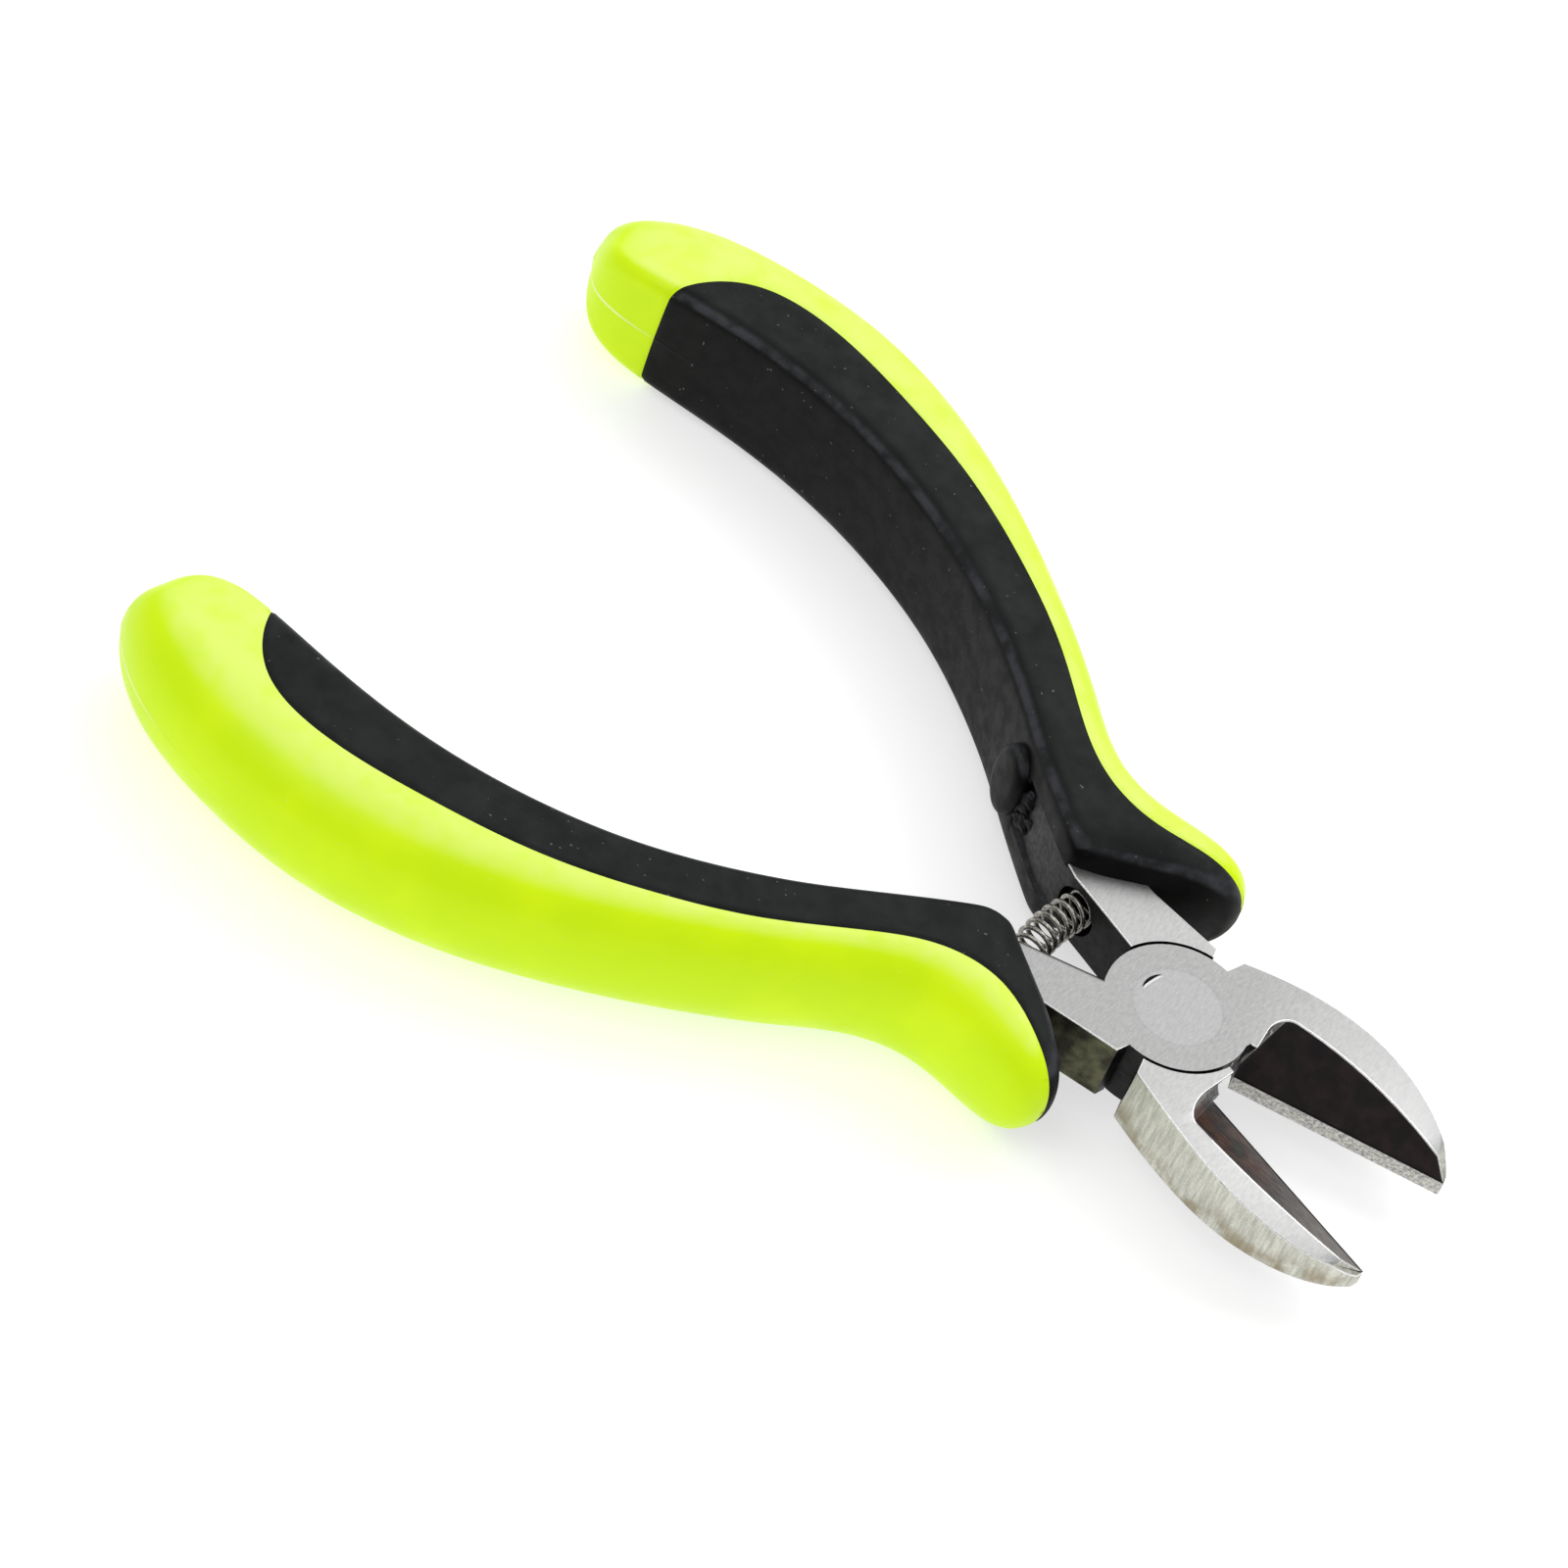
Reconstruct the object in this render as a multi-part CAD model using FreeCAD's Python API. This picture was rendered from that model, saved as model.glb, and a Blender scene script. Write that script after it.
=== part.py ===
import FreeCAD, Part
import math
import os
from FreeCAD import Vector

# Flush cut pliers with a riveted lap joint, a coil return spring and two-shot grips.
# Each half is drawn closed: its cutting edge lies on the +X axis, its jaw is on the +Y side
# and its handle on the -Y side.  The lower half is the mirror image of the upper one.
# Frame: origin on the pivot axis at the flush back face of the head, +X toward the jaw tips,
# +Z up through the head.  The model stands in its relaxed, open position.

# Driving dimensions, in millimetres and degrees
REST_ANGLE = 14.0        # turn of each half from closed to the relaxed position
HEAD_T = 6.4             # thickness of the steel at the joint
MID = HEAD_T / 2         # height of the lap face and of the grips' parting plane
LAP_R = 6.55             # radius of a lap disc
LAP_GAP = 0.3            # space between a disc and the shoulder arc round it
LAP_PLAY = 0.04          # play between the two lap faces

EDGE_START = 6.75        # inner end of the jaw mouth
EDGE_END = 26.6          # tip of the jaw
EDGE_GAP = 0.02          # each cutting edge stops this far short of the closed plane
LAND_H = 1.6             # height of the ground land above the cutting edge
LAND_BACK = 0.15         # set-back of the land's upper edge
UPPER_BEVEL = 46.0       # slope of the upper jaw's inner bevel
LOWER_BEVEL = 36.0       # slope of the lower jaw's inner bevel
WALL_FOOT = (7.5, 0.0)   # where the bevel's end wall meets the top face, on the mouth
WALL_TURN = 5.0          # turn of the end wall in plan
WALL_LEAN = 22.0         # lean of the end wall toward the tip
POCKET_R = 1.4           # rounding between the end wall and the bevel
CROWN_R = 60.0           # radius of the jaw's crowned top
CROWN_START = 5.0        # where the crown leaves the flat head
TIP_BLUNT = 1.0          # height of the tip's small end facet above the land

RIVET_R = 2.4            # rivet shank
RIVET_HEAD_R = 4.0       # countersunk ends, ground flush
RIVET_HEAD_H = 1.1
RIVET_CLEAR = 0.04       # running clearance to the upper half

SEAT_X = -13.4           # spring seats, along the tangs
SEAT_R = 2.25
SEAT_DEPTH = 2.9
SPRING_X = -12.55        # straight axis of the spring at rest
SPRING_HALF = 6.0        # half its free length
SPRING_TURNS = 13
COIL_R = 1.55            # mean radius of a coil
WIRE_R = 0.22

THROAT = (-3.0, -0.35)   # inner side of the tang where it leaves the disc
TANG_BEND = (-14.8, -1.0)  # where that side starts to bend outward
SEAT_Y = -0.9            # plane of the spring seats' mouths
INNER_EDGE_R = 0.9       # rounding of the upper tang's inner top edge
BOSS_AT = (-26.8, -6.3)  # round boss on the liner, just behind the bare tang
BOSS_R = 2.3
BOSS_H = 1.6

# Stations of the grip, from the front face to the end cap.
# Each is (inner x, inner y, outer x, outer y, half height).
GRIP_STATIONS = [
    (-15.8, -1.4, -5.3, -12.8, 5.4),
    (-17.3, -1.6, -7.4, -15.6, 6.2),
    (-19.3, -2.3, -12.7, -14.6, 6.5),
    (-22.1, -3.5, -18.1, -13.0, 6.4),
    (-26.1, -5.3, -23.2, -13.7, 6.2),
    (-31.4, -7.9, -28.6, -16.2, 6.2),
    (-38.6, -10.8, -36.3, -19.7, 6.3),
    (-47.5, -13.1, -46.4, -23.4, 6.4),
    (-58.5, -13.9, -58.5, -26.2, 6.6),
    (-68.7, -12.7, -70.7, -26.1, 6.7),
    (-76.6, -10.4, -80.3, -23.3, 6.6),
    (-82.3, -8.3, -87.0, -19.8, 6.3),
    (-86.4, -7.1, -90.9, -16.2, 5.6),
    (-89.3, -7.2, -92.7, -13.4, 4.3),
    (-91.4, -8.3, -93.4, -11.5, 2.3),
]
TOP_SHARE = 0.50         # part of a section's width that is flat on top
INNER_CORNER = 1.5       # rounding of the grip's inner edges
FULLNESS = 0.62          # 0.55 makes the outer side an ellipse, more makes it fuller

CLOSE = 0.01             # reach within which a point lies on an edge


def v(x, y, z=0.0):
    return Vector(x, y, z)


def line(a, b):
    return Part.LineSegment(v(*a), v(*b)).toShape()


def spline(points):
    curve = Part.BSplineCurve()
    curve.interpolate([v(*p) for p in points])
    return curve.toShape()


def prism(edges, low, high):
    """Solid over a closed plan outline, from height low to height high."""
    face = Part.Face(Part.Wire(edges))
    face.translate(v(0, 0, low))
    return face.extrude(v(0, 0, high - low))


def jaw_plate():
    tip = (EDGE_END, EDGE_GAP)
    blunt = (EDGE_END, 0.9)
    shoulder = (3.4, 7.85)
    outer = [blunt, (25.5, 2.7), (23.3, 4.8), (20.4, 6.5), (17.0, 7.7), (13.0, 8.3), (8.0, 8.3), shoulder]
    root = (2.0, 5.4)
    nose = (6.3, -0.9)
    mouth = (EDGE_START, EDGE_GAP)
    edges = [
        line((0, 0), nose),
        line(nose, mouth),
        line(mouth, tip),
        line(tip, blunt),
        spline(outer),
        line(shoulder, root),
        line(root, (0, 0)),
    ]
    return prism(edges, 0, HEAD_T)


def tang_plate():
    """Tang: straight beside the spring, then bent along the middle of the grip."""
    inner = [TANG_BEND, (-20.3, -2.9), (-24.8, -5.2)]
    buried_inner = [(-24.8, -5.2), (-27.5, -8.0), (-34.4, -12.2), (-47.6, -16.4), (-66.6, -17.0)]
    buried_outer = [(-66.7, -21.0), (-46.7, -20.7), (-30.5, -13.6), (-18.3, -7.7), (-10.2, -6.3)]
    corner = (-2.9, -7.3)
    heel = (-2.1, -5.8)
    root = (-1.0, -3.0)
    edges = [
        line(THROAT, TANG_BEND),
        spline(inner),
        spline(buried_inner),
        line(buried_inner[-1], buried_outer[0]),
        spline(buried_outer),
        line(buried_outer[-1], corner),
        line(corner, heel),
        line(heel, root),
        line(root, THROAT),
    ]
    return prism(edges, 0, HEAD_T)


def crown_cut():
    """What the crowned top takes off the jaw."""
    reach = 30.0
    above = HEAD_T + 5
    side_y = -10.0
    depth = 30.0
    centre_z = HEAD_T - CROWN_R

    def crown(x):
        return centre_z + math.sqrt(CROWN_R ** 2 - (x - CROWN_START) ** 2)

    middle = (CROWN_START + reach) / 2
    start = v(CROWN_START, side_y, HEAD_T)
    end = v(reach, side_y, crown(reach))
    arc = Part.Arc(start, v(middle, side_y, crown(middle)), end).toShape()
    outside = Part.makePolygon([end, v(reach, side_y, above), v(CROWN_START, side_y, above), start])
    return Part.Face(Part.Wire([arc] + outside.Edges)).extrude(v(0, depth, 0))


def bevel_cut(angle):
    """The sloped pocket behind the cutting edge, with its leaning end wall."""
    rise = math.tan(math.radians(angle))
    low_y = -4.0
    high_y = 14.0
    length = 40.0
    foot_z = LAND_H - LAND_BACK * rise
    section = [
        v(0, low_y, foot_z + low_y * rise),
        v(0, high_y, foot_z + high_y * rise),
        v(0, low_y, foot_z + high_y * rise),
    ]
    slope = Part.Face(Part.makePolygon(section + section[:1])).extrude(v(length, 0, 0))
    size = 60.0
    wall = Part.makeBox(size, size, size, v(0, -size / 2, -size / 2))
    wall.rotate(v(0, 0, 0), v(0, 1, 0), WALL_LEAN)
    wall.rotate(v(0, 0, 0), v(0, 0, 1), -WALL_TURN)
    wall.translate(v(WALL_FOOT[0], WALL_FOOT[1], HEAD_T))
    pocket = slope.common(wall)
    corner_y = (HEAD_T - foot_z) / rise
    corner_x = WALL_FOOT[0] + (corner_y - WALL_FOOT[1]) * math.tan(math.radians(WALL_TURN))
    corner = Part.Vertex(v(corner_x, corner_y, HEAD_T))
    return pocket.makeFillet(POCKET_R, [e for e in pocket.Edges if e.distToShape(corner)[0] < CLOSE])


def land_cut():
    """Relief of the land, so that only the cutting edge at the back face meets its mate."""
    low_y = -4.0
    length = 30.0
    section = [v(0, low_y, 0), v(0, EDGE_GAP, 0), v(0, EDGE_GAP + LAND_BACK, LAND_H), v(0, low_y, LAND_H)]
    strip = Part.Face(Part.makePolygon(section + section[:1])).extrude(v(length, 0, 0))
    strip.translate(v(EDGE_START + 0.1, 0, 0))
    return strip


def tip_cut():
    """End facet that blunts the tip from the land up to the crowned top."""
    top = LAND_H + TIP_BLUNT + 1.0
    back = 2.2
    margin = 5.0
    depth = 20.0
    section = [v(EDGE_END, -margin, LAND_H), v(EDGE_END + margin, -margin, LAND_H),
               v(EDGE_END + margin, -margin, top + margin), v(EDGE_END - back, -margin, top)]
    return Part.Face(Part.makePolygon(section + section[:1])).extrude(v(0, depth, 0))


def spring_seat():
    """Blind bore into the tang's inner side."""
    above = 3.0
    return Part.makeCylinder(SEAT_R, SEAT_DEPTH + above, v(SEAT_X, SEAT_Y + above, MID), v(0, -1, 0))


def soften_inner_edge(plate):
    """Round the top edge of the upper tang beside the spring."""
    middle = Part.Vertex((v(*THROAT) + v(*TANG_BEND)) / 2 + v(0, 0, HEAD_T))
    edges = [e for e in plate.Edges if e.distToShape(middle)[0] < CLOSE]
    return plate.makeFillet(INNER_EDGE_R, edges)


def countersink(radius, half_height, head_r, head_h, up):
    """Shank with one countersunk end, from the lap face out to the head's face."""
    shank = Part.makeCylinder(radius, half_height)
    head = Part.makeCone(radius, head_r, head_h, v(0, 0, half_height - head_h))
    shape = shank.fuse(head).removeSplitter()
    if not up:
        shape.rotate(v(0, 0, 0), v(1, 0, 0), 180)
    shape.translate(v(0, 0, MID))
    return shape


def steel_half(upper):
    """One jaw, lap disc and tang; the disc keeps the upper or the lower layer."""
    disc = Part.makeCylinder(LAP_R, HEAD_T)
    plate = disc.fuse([jaw_plate(), tang_plate()]).removeSplitter()
    relief_r = LAP_R + LAP_GAP
    if upper:
        relief = Part.makeCylinder(relief_r, MID + LAP_PLAY / 2)
    else:
        relief = Part.makeCylinder(relief_r, MID + LAP_PLAY / 2, v(0, 0, MID - LAP_PLAY / 2))
    plate = plate.cut(relief)
    plate = plate.cut(crown_cut())
    plate = plate.cut(bevel_cut(UPPER_BEVEL if upper else LOWER_BEVEL))
    plate = plate.cut(land_cut())
    plate = plate.cut(tip_cut())
    plate = plate.cut(spring_seat())
    if upper:
        plate = soften_inner_edge(plate)
    grow = RIVET_CLEAR if upper else 0.0
    hole = countersink(RIVET_R + grow, MID, RIVET_HEAD_R + grow, RIVET_HEAD_H, upper)
    through = Part.makeCylinder(RIVET_R + grow, HEAD_T)
    return plate.cut(hole.fuse(through)).removeSplitter()


def pivot_rivet():
    halves = [countersink(RIVET_R, MID, RIVET_HEAD_R, RIVET_HEAD_H, up) for up in (True, False)]
    return halves[0].fuse(halves[1]).removeSplitter()


def grip_section(inner_x, inner_y, outer_x, outer_y, half_height):
    """D-shaped section: flat inner side, flat top and bottom, rounded outer side."""
    across = v(outer_x - inner_x, outer_y - inner_y)
    width = across.Length
    across.normalize()
    start = v(inner_x, inner_y, MID)

    def at(distance, height):
        return start + across * distance + v(0, 0, height)

    corner = min(INNER_CORNER, 0.3 * width, 0.45 * half_height)
    flat = max(TOP_SHARE * width, corner + 0.2)
    edges = []
    inner_low, inner_high = at(0, corner - half_height), at(0, half_height - corner)
    edges.append(Part.LineSegment(inner_low, inner_high).toShape())
    pull = 0.55
    edges.append(bezier(inner_high, at(0, half_height - corner * (1 - pull)),
                        at(corner * (1 - pull), half_height), at(corner, half_height)))
    edges.append(Part.LineSegment(at(corner, half_height), at(flat, half_height)).toShape())
    reach = FULLNESS * (width - flat)
    edges.append(bezier(at(flat, half_height), at(flat + reach, half_height),
                        at(width, FULLNESS * half_height), at(width, 0)))
    edges.append(bezier(at(width, 0), at(width, -FULLNESS * half_height),
                        at(flat + reach, -half_height), at(flat, -half_height)))
    edges.append(Part.LineSegment(at(flat, -half_height), at(corner, -half_height)).toShape())
    edges.append(bezier(at(corner, -half_height), at(corner * (1 - pull), -half_height),
                        at(0, corner * (1 - pull) - half_height), inner_low))
    return Part.Wire(edges)


def bezier(*poles):
    curve = Part.BezierCurve()
    curve.setPoles(list(poles))
    return curve.toShape()


def grip_body():
    sections = [grip_section(*station) for station in GRIP_STATIONS]
    body = Part.makeLoft(sections, True, False)
    return body.cut(tang_plate())


def liner_zone():
    """Plan area of the black liner: inside the colour boundary, over the full height."""
    boundary = [(-81.9, -6.3), (-81.8, -10.3), (-79.2, -15.6), (-72.3, -18.9), (-62.7, -19.8), (-52.7, -19.5),
                (-42.6, -17.5), (-33.5, -14.4), (-25.9, -10.6), (-19.8, -8.5), (-14.3, -9.0), (-9.9, -11.5),
                (-3.5, -15.7)]
    corner_y = 4.0
    half_span = 15.0
    edges = [
        spline(boundary),
        line(boundary[-1], (0.0, corner_y)),
        line((0.0, corner_y), (boundary[0][0], corner_y)),
        line((boundary[0][0], corner_y), boundary[0]),
    ]
    return prism(edges, MID - half_span, MID + half_span)


def liner_boss():
    square_to_liner = v(-0.42, 1.0)
    return Part.makeCylinder(BOSS_R, BOSS_H, v(BOSS_AT[0], BOSS_AT[1], MID), square_to_liner)


def grips():
    body = grip_body()
    zone = liner_zone()
    shell = body.cut(zone)
    liner = body.common(zone).fuse(liner_boss()).cut(tang_plate()).removeSplitter()
    return shell, liner


def return_spring():
    length = 2 * (SPRING_HALF - WIRE_R)
    helix = Part.makeHelix(length / SPRING_TURNS, length, COIL_R)
    profile = Part.Wire(Part.Circle(v(COIL_R, 0, 0), v(0, 1, 0), WIRE_R).toShape())
    coil = Part.Wire(helix).makePipeShell([profile], True, True)
    coil.translate(v(0, 0, -length / 2))
    coil.rotate(v(0, 0, 0), v(1, 0, 0), 90)
    coil.translate(v(SPRING_X, 0, MID))
    return coil


def open_half(shape, upper):
    """Mirror the lower half, then turn the half from closed to the relaxed position."""
    placed = shape.copy()
    angle = REST_ANGLE
    if not upper:
        placed = placed.mirror(v(0, 0, 0), v(0, 1, 0))
        angle = -REST_ANGLE
    placed.rotate(v(0, 0, 0), v(0, 0, 1), angle)
    return placed


def solids_of(shape):
    solids = shape.Solids
    return solids[0] if len(solids) == 1 else Part.makeCompound(solids)


def write(name, shape):
    shape = solids_of(shape)
    shape.exportStep(os.path.join("parts", name + ".step"))
    print(name, len(shape.Solids), "solid", round(shape.Volume, 2), "mm3", shape.isValid())


def main():
    os.makedirs("parts", exist_ok=True)
    shell, liner = grips()
    for upper in (True, False):
        side = "upper" if upper else "lower"
        write(side + "_jaw_half", open_half(steel_half(upper), upper))
        write(side + "_grip_shell", open_half(shell, upper))
        write(side + "_grip_liner", open_half(liner, upper))
    write("pivot_rivet", pivot_rivet())
    write("return_spring", return_spring())


main()
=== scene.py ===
import math

import bmesh
import bpy
import numpy as np
from mathutils import Matrix, Vector


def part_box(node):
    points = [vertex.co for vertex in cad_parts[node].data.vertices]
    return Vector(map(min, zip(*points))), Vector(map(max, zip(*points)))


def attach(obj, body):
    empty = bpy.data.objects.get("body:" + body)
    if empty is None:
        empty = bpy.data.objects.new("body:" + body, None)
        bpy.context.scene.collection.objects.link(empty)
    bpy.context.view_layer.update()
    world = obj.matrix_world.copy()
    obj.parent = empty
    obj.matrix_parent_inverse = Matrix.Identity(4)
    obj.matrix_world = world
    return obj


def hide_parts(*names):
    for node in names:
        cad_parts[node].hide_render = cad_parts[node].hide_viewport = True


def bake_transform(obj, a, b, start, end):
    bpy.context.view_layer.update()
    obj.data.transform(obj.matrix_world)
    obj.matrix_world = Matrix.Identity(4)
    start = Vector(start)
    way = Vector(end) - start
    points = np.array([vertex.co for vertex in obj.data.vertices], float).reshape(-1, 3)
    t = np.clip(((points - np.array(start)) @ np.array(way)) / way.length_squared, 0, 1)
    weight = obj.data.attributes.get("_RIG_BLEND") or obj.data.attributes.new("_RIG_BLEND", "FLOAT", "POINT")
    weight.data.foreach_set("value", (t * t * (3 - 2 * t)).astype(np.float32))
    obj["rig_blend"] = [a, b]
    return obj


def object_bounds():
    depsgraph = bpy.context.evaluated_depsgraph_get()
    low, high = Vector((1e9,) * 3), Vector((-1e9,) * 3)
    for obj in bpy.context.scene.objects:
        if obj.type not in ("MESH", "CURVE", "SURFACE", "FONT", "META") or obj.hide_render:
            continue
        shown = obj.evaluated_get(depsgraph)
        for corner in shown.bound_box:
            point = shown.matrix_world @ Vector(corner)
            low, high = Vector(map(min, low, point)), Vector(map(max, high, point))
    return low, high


# Flush cut pliers: ground steel halves, rivet, coil spring and two-shot grips.
# Lengths are in millimetres until a mesh is made, which turns them into metres.
# Each half is drawn closed, with its cutting edge on +X, its jaw on +Y and its handle on -Y;
# the lower half is its mirror image, and both are then turned to the relaxed position.
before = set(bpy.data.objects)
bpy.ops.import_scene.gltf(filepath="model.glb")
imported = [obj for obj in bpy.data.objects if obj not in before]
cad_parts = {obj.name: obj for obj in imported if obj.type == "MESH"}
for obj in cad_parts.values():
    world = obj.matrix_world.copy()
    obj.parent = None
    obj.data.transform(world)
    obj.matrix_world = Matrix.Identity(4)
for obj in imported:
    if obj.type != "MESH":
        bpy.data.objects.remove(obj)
cad_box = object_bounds()

MM = 0.001
HALVES = ("upper", "lower")
REST_ANGLE = math.radians(14.0)
head_low, head_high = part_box("pivot_rivet")
MID = (head_low.z + head_high.z) / 2 / MM
HEAD_T = (head_high.z - head_low.z) / MM
RIVET_R = head_high.x / MM    # radius of the rivet's ground ends
WELD = 0.002                  # points this close are one

# Camera: direction of view, roll, distance and aim
CAMERA_AZIMUTH = 19.07
CAMERA_ELEVATION = 48.13
CAMERA_ROLL = 23.2
CAMERA_DISTANCE = 507.0
CAMERA_AIM = (-38.34, -4.31, MID)
LENS = 137.0

# Grip: stations (inner x, inner y, outer x, outer y, half height) from the front to the end cap
GRIP_STATIONS = [
    (-15.8, -1.4, -5.3, -12.8, 5.4),
    (-17.3, -1.6, -7.4, -15.6, 6.2),
    (-19.3, -2.3, -12.7, -14.6, 6.5),
    (-22.1, -3.5, -18.1, -13.0, 6.4),
    (-26.1, -5.3, -23.2, -13.7, 6.2),
    (-31.4, -7.9, -28.6, -16.2, 6.2),
    (-38.6, -10.8, -36.3, -19.7, 6.3),
    (-47.5, -13.1, -46.4, -23.4, 6.4),
    (-58.5, -13.9, -58.5, -26.2, 6.6),
    (-68.7, -12.7, -70.7, -26.1, 6.7),
    (-76.6, -10.4, -80.3, -23.3, 6.6),
    (-82.3, -8.3, -87.0, -19.8, 6.3),
    (-86.4, -7.1, -90.9, -16.2, 5.6),
    (-89.3, -7.2, -92.7, -13.4, 4.3),
    (-91.4, -8.3, -93.4, -11.5, 2.3),
]
# Plan of the border between liner and shell, from the end cap to the front
COLOUR_BOUNDARY = [
    (-81.9, -6.3), (-81.8, -10.3), (-79.2, -15.6), (-72.3, -18.9), (-62.7, -19.8),
    (-52.7, -19.5), (-42.6, -17.5), (-33.5, -14.4), (-25.9, -10.6), (-19.8, -8.5),
    (-14.3, -9.0), (-9.9, -11.5), (-3.5, -15.7),
]
BOUNDARY_POINTS = 500
TOP_SHARE = 0.50         # part of a section's width that is flat on top
TOP_LEAST = 0.2          # least flat top beside the inner rounding
INNER_CORNER = 1.5       # rounding of the inner edges
CORNER_SHARE = (0.3, 0.45)    # the most it takes of a section's width and half height
CORNER_PULL = 0.45       # how close its curve comes to the corner
FULLNESS = 0.62          # fullness of the outer side
INNER_CROWN = 0.18       # swell of the inner side at mid-height
FRONT_ROUND = 1.1        # rounding round the front face
FRONT_SWELL = 0.5        # swell of the front face at mid-height
END_ROUND = 1.6          # rounding of the end cap along the grip
END_INSET = 0.88         # and across it
END_SWELL = 0.25
ROUND_LENGTH = 1.4       # length of those roundings over their depth
CAP_CORE = (0.4, 0.6)    # part of a face's width that its rings shrink onto
GROOVE_DEPTH = 0.10      # fine groove between the two mouldings
GROOVE_FLOOR = 0.10      # half the width of its floor
GROOVE_REACH = 0.28      # half the width of the whole groove
SEAM_HEIGHT = 0.05       # mould parting line at mid-height, raised on the end caps
SEAM_REACH = 0.13        # half its width
SEAM_FADE = (-84.0, -76.0)    # it fades out over this stretch
SEAM_REST = 0.05         # share of its height that goes on to the front
RINGS = 230
SMOOTH_ANGLE = math.radians(38)

# Round boss on the inner side: place, direction, radius, height over width, length, rounding
BOSS_AT = (-26.8, -6.3)
BOSS_AHEAD = (-0.42, 1.0)
BOSS_R = 2.5
BOSS_TALL = 1.6
BOSS_H = 1.9
BOSS_ROUND = 0.9
BOSS_SIDES = 48

# The liner leaves the tang's inner side bare from the boss to its front face
RECESS = (-25.2, -24.4, -16.0, -15.2)   # where the recess starts, is deep, starts to end, ends
RECESS_HALF = 2.6        # half its height
RECESS_DEPTH = 1.1
RECESS_SLANT = 0.3       # it goes this far back for each unit of depth
INNER_SKIN = 0.5         # points this near to the inner side belong to it

# Lumps of moulding flash: x, y, height over the middle, radius
RESIDUE = [
    (-24.5, -4.9, -0.6, 1.0),
    (-23.6, -4.5, -1.6, 0.9),
    (-24.1, -4.7, 0.8, 0.8),
    (-22.8, -4.2, -0.8, 0.6),
]
RESIDUE_SHAPE = (1.3, 0.6, 1.0)

# Spring
SEAT_MOUTH = (-13.4, -0.9)    # middle of a seat's mouth
SEAT_REACH = 2.7         # how far the coil goes into each seat
COIL_R = 1.55            # mean radius
WIRE_R = 0.22
COIL_PITCH = 1.05
TURN_STEPS = 36          # sections of wire in a turn
WIRE_SIDES = 12

# Steel
GROUND, EDGE, OXIDE, OLIVE, SIDE, BEVEL, LAND, WALL = range(8)
FLAT = math.radians(0.3)      # faces that differ by less than this become one
SHARP = math.radians(28)      # edges sharper than this are worn
EDGE_WIDTH = 0.11        # width of that wear
BARE_TANG = -16.0        # the tang is inside the grip behind here
BACK_REACH = 0.5         # the back face is lower than this
JAW_START = 6.0          # the jaws are in front of here
JAW_TOP_START = 8.0      # and in front of here no lap face is left
BEVEL_END_X = 14.0       # a bevel's end wall is behind here
LAND_TOP = 1.75          # the lands are lower than this
SIDE_START = (3.6, 3.0, 20.0)    # the outer sides start at this x and y, or past the second x
TANG_START = -3.2        # the tangs are behind here
RIVET_ZONE = 4.3         # edges within this radius stay crisp
LAP_ZONE = (6.2, 7.1)    # and so do edges between these radii
RIVET_GAP = 0.06         # widest gap round the rivet's ends
TOP_DROP = 0.5           # the top face and its bright edges are this far over the middle
TOP_FALL = 0.12          # and lower toward the tip, by this for each unit
TOP_FALL_START = 5.0     # from here
SCRATCH_R = 3.45         # crescent mark on the rivet's end
SCRATCH_TURN = math.radians(170)
SCRATCH_HALF = 1.3
SCRATCH_WIDTH = 0.17

# Stage, in metres
LIGHT_AIM = (-0.03, 0, 0)
LIGHT_DISTANCE = 0.7
FLOOR_HALF = 3.0
FLOOR_CLEARANCE = 0.0002


# ---------------------------------------------------------------- geometry helpers

def to_rest(points, upper):
    """Points of a closed half, in millimetres, in its relaxed position in metres."""
    points = np.array(points, float)
    if not upper:
        points[:, 1] *= -1
    angle = REST_ANGLE if upper else -REST_ANGLE
    c, s = math.cos(angle), math.sin(angle)
    placed = points.copy()
    placed[:, 0] = points[:, 0] * c - points[:, 1] * s
    placed[:, 1] = points[:, 0] * s + points[:, 1] * c
    return placed * MM


def to_closed(points, upper):
    """The reverse of to_rest."""
    points = np.array(points, float) / MM
    angle = -REST_ANGLE if upper else REST_ANGLE
    c, s = math.cos(angle), math.sin(angle)
    placed = points.copy()
    placed[:, 0] = points[:, 0] * c - points[:, 1] * s
    placed[:, 1] = points[:, 0] * s + points[:, 1] * c
    if not upper:
        placed[:, 1] *= -1
    return placed


def smooth_curve(points, where):
    """Natural cubic curve through the points, at the given shares of its length."""
    points = np.array(points, float)
    gaps = np.linalg.norm(np.diff(points, axis=0), axis=1)
    knots = np.concatenate([[0], np.cumsum(gaps)])
    n = len(knots)
    system = np.eye(n)
    load = np.zeros(points.shape)
    slopes = np.diff(points, axis=0) / gaps[:, None]
    for i in range(1, n - 1):
        system[i, i - 1:i + 2] = gaps[i - 1], 2 * (gaps[i - 1] + gaps[i]), gaps[i]
        load[i] = 6 * (slopes[i] - slopes[i - 1])
    bend = np.linalg.solve(system, load)
    at = np.array(where) * knots[-1]
    k = np.clip(np.searchsorted(knots, at, side="right") - 1, 0, n - 2)
    d = (at - knots[k])[:, None]
    gap = gaps[k][:, None]
    first = slopes[k] - gap * (2 * bend[k] + bend[k + 1]) / 6
    return points[k] + d * first + d ** 2 * bend[k] / 2 + d ** 3 * (bend[k + 1] - bend[k]) / (6 * gap)


def bezier(poles, where):
    """Cubic curve through four poles, at the given shares of its parameter."""
    poles = np.array(poles, float)
    t = np.array(where)[:, None]
    weights = [(1 - t) ** 3, 3 * t * (1 - t) ** 2, 3 * t ** 2 * (1 - t), t ** 3]
    return sum(w * p for w, p in zip(weights, poles))


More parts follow.
